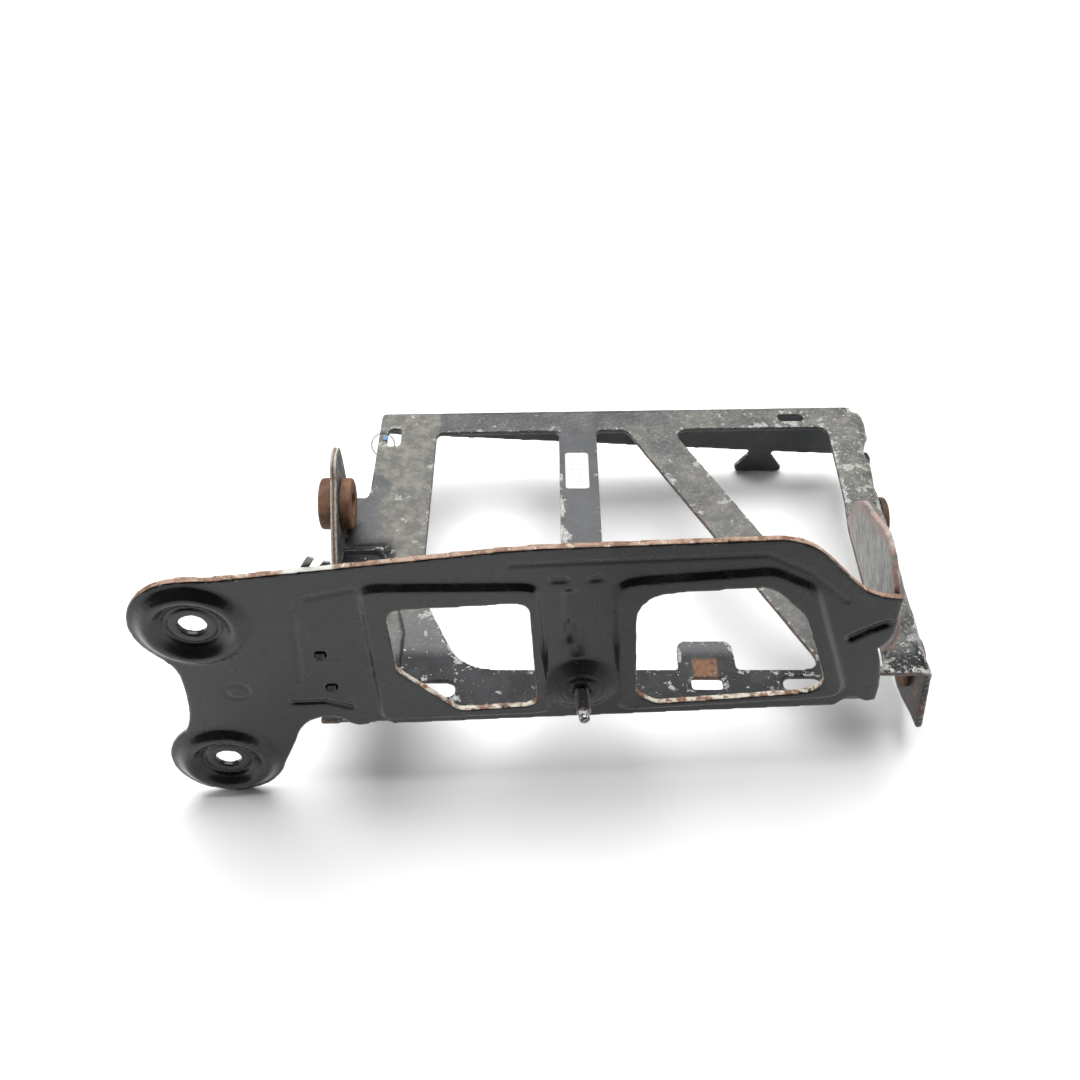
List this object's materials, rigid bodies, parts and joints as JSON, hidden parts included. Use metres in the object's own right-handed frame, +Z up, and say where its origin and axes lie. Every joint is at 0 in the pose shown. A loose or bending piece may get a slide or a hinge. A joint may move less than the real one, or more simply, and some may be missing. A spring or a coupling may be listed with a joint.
{
  "type": "spare tire carrier",
  "caption": "Pressed-steel carrier bracket: open tray frame with a tall front plate, clamp stud, side gusset, bush ear and rubber bushes.",
  "frame": {"origin": "on the top face of the tray, at the middle of its centre strut", "axes": "+Z up out of the tray's top face, +X towards the gusset and right flange, -Y towards the front plate"},
  "size_m": [0.4348, 0.2967, 0.1898],
  "materials": {
    "tray_paint": "worn satin grey-black paint with chips and surface rust",
    "plate_paint": "gloss black paint",
    "stud_steel": "dark oiled steel",
    "clip_steel": "dull zinc plate",
    "bush_rubber": "matt brown rubber",
    "label_paper": "matt white sticker",
    "loop_plastic": "black plastic line",
    "flag_plastic": "light blue plastic"
  },
  "bodies": {
    "carrier": {"base_frame": "tray_paint", "right_gusset": "tray_paint", "bush_ear": "tray_paint", "front_plate": "plate_paint", "clamp_stud": "stud_steel", "clip_rivet_upper": "stud_steel", "clip_rivet_lower": "stud_steel", "flange_pin": "stud_steel", "rear_clip": "clip_steel", "ear_bush": "bush_rubber", "flange_bush_rear": "bush_rubber", "flange_bush_front": "bush_rubber"},
    "tag": {"tag_loop": "loop_plastic", "tag_flag": "flag_plastic"}
  },
  "joints": [
    {"name": "tag_swing", "type": "hinge", "parent": "carrier", "child": "tag", "pos_m": [-0.1341, 0.0945, -0.00175], "axis": [1, 0, 0], "range_deg": [0, 90]}
  ]
}
